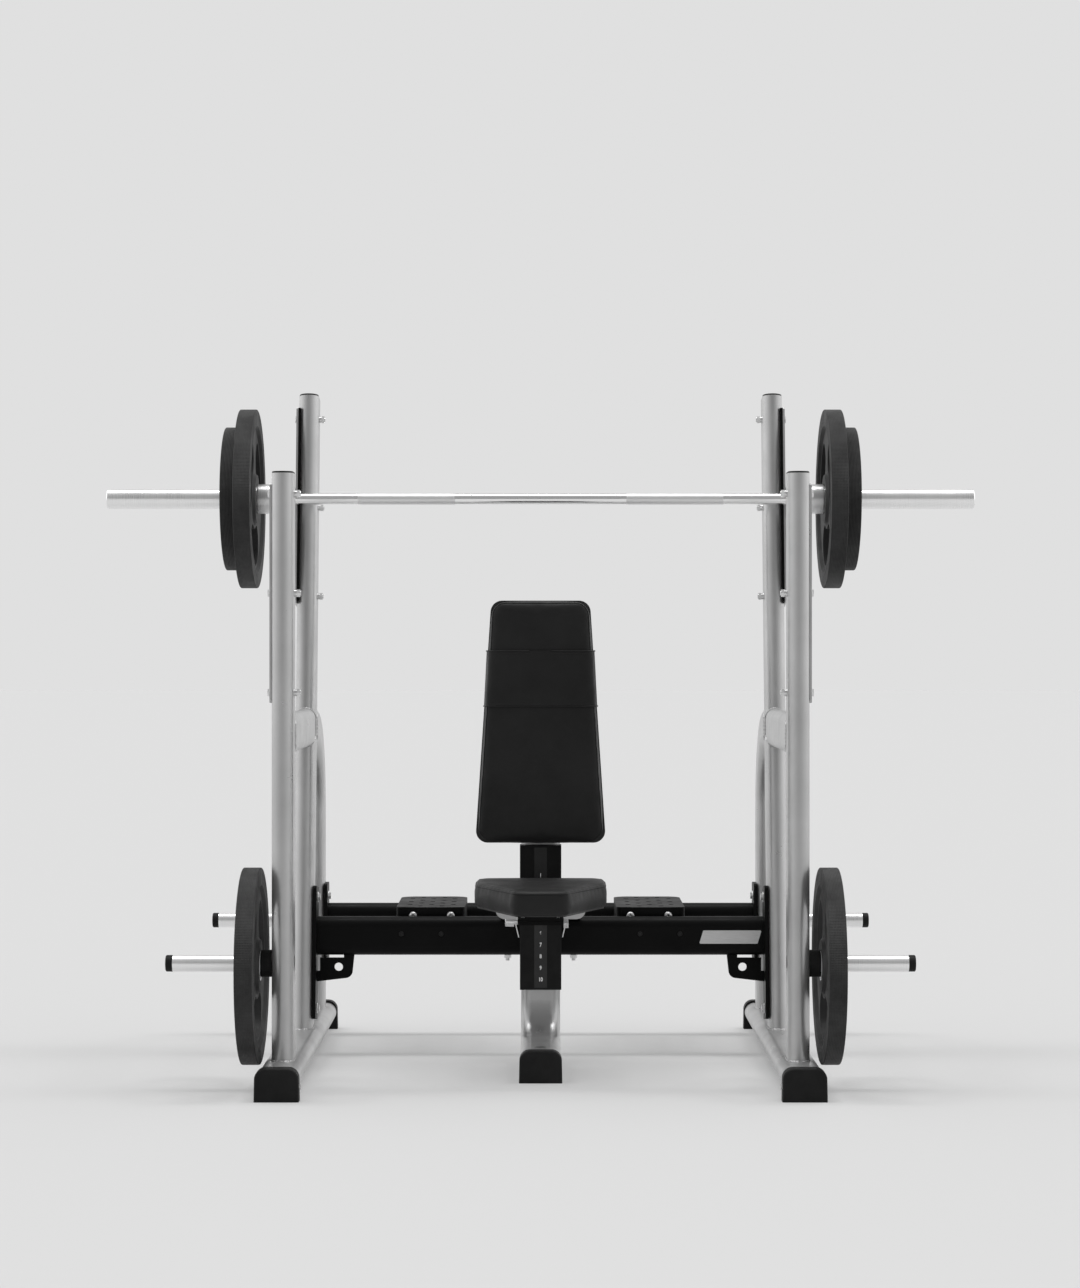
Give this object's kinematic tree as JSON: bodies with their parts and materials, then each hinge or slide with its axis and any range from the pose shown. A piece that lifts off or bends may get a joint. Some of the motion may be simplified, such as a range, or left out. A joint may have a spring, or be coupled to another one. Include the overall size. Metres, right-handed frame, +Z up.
{
  "type": "seated olympic press bench",
  "caption": "Gym bench with an upright back pad, a height-set seat, two racked side frames, spotter platforms and a barbell with discs.",
  "frame": {"origin": "middle of the footprint on the floor", "axes": "+X along the bar to the sitter's left, +Y from the seat to the rear of the frame, +Z up"},
  "size_m": [2.184, 1.355, 1.6584],
  "materials": {
    "silver_tube": "satin metallic silver powder coat",
    "black_tube": "satin black powder coat",
    "moulded_black": "matt moulded plastic",
    "rubber_black": "matt rubber",
    "disc_rubber": "matt rubber over an iron core",
    "bright_steel": "zinc plated, bright",
    "chrome": "hard chrome",
    "cushion": "grained black vinyl",
    "board": "painted plywood",
    "dark_fasteners": "black oxide",
    "bronze": "sintered bronze",
    "nylon": "natural nylon",
    "badge_blank": "blank brushed plate",
    "scale_strip": "printed strip"
  },
  "bodies": {
    "frame": {"base_rail_left": "silver_tube", "base_rail_right": "silver_tube", "front_upright_left": "silver_tube", "front_upright_right": "silver_tube", "rear_upright_left": "silver_tube", "rear_upright_right": "silver_tube", "spars": "silver_tube", "rear_arch_left": "silver_tube", "rear_arch_right": "silver_tube", "centre_leg": "silver_tube", "rear_racks": "silver_tube", "front_racks": "silver_tube", "front_crossbeam": "black_tube", "rear_crossbeam": "black_tube", "beam_end_plates": "black_tube", "beam_gussets": "black_tube", "spotter_platforms": "black_tube", "post_bracket": "black_tube", "back_pad_bracket": "black_tube", "rack_liners": "black_tube", "upright_caps": "moulded_black", "front_feet": "moulded_black", "rear_feet": "moulded_black", "centre_foot": "moulded_black", "post_housing": "moulded_black", "horn_caps": "moulded_black", "horn_bumpers": "rubber_black", "frame_bolts": "bright_steel", "rack_bolts": "bright_steel", "rack_nuts": "bright_steel", "platform_bolts": "dark_fasteners", "storage_horns": "chrome", "back_pad": "cushion", "back_pad_band": "cushion", "back_pad_board": "board", "badge_plate": "badge_blank", "number_strip": "scale_strip"},
    "seat": {"seat_carriage": "black_tube", "seat_bracket": "silver_tube", "seat_board": "board", "seat_pad": "cushion", "carriage_glides": "nylon", "carriage_guides": "bright_steel", "pin_barrel": "bright_steel"},
    "pin": {"seat_pin": "bright_steel", "pin_knob": "bright_steel", "pin_spring": "bright_steel"},
    "bar": {"bar_shaft": "chrome"},
    "sleeve_left": {"sleeve_left": "chrome", "sleeve_bushes_left": "bronze", "sleeve_cap_left": "chrome"},
    "large_disc_left": {"large_plate_left": "disc_rubber"},
    "small_disc_left": {"small_plate_left": "disc_rubber"},
    "stored_disc_left": {"storage_plate_left": "disc_rubber"},
    "sleeve_right": {"sleeve_right": "chrome", "sleeve_bushes_right": "bronze", "sleeve_cap_right": "chrome"},
    "large_disc_right": {"large_plate_right": "disc_rubber"},
    "small_disc_right": {"small_plate_right": "disc_rubber"},
    "stored_disc_right": {"storage_plate_right": "disc_rubber"}
  },
  "joints": [
    {"name": "seat_height", "type": "slide", "parent": "frame", "child": "seat", "axis": [0, 0, 1], "range_m": [-0.141, 0.1128]},
    {"name": "pin_pull", "type": "slide", "parent": "seat", "child": "pin", "axis": [-1, 0, 0], "range_m": [-0.008, 0], "deforming": ["pin_spring"]},
    {"name": "bar_lift", "type": "slide", "parent": "frame", "child": "bar", "axis": [0, 0, 1], "range_m": [0, 0.3]},
    {"name": "left_sleeve_spin", "type": "hinge", "parent": "bar", "child": "sleeve_left", "pos_m": [-0.86, 0.2425, 1.387], "axis": [1, 0, 0], "continuous": true},
    {"name": "left_large_disc_slide", "type": "slide", "parent": "sleeve_left", "child": "large_disc_left", "axis": [-1, 0, 0], "range_m": [0, 0.4]},
    {"name": "left_small_disc_slide", "type": "slide", "parent": "large_disc_left", "child": "small_disc_left", "axis": [-1, 0, 0], "range_m": [0, 0.345]},
    {"name": "left_stored_disc_slide", "type": "slide", "parent": "frame", "child": "stored_disc_left", "axis": [-1, 0, 0], "range_m": [0, 0.225]},
    {"name": "right_sleeve_spin", "type": "hinge", "parent": "bar", "child": "sleeve_right", "pos_m": [0.86, 0.2425, 1.387], "axis": [1, 0, 0], "continuous": true},
    {"name": "right_large_disc_slide", "type": "slide", "parent": "sleeve_right", "child": "large_disc_right", "axis": [1, 0, 0], "range_m": [0, 0.4]},
    {"name": "right_small_disc_slide", "type": "slide", "parent": "large_disc_right", "child": "small_disc_right", "axis": [1, 0, 0], "range_m": [0, 0.345]},
    {"name": "right_stored_disc_slide", "type": "slide", "parent": "frame", "child": "stored_disc_right", "axis": [1, 0, 0], "range_m": [0, 0.225]}
  ]
}
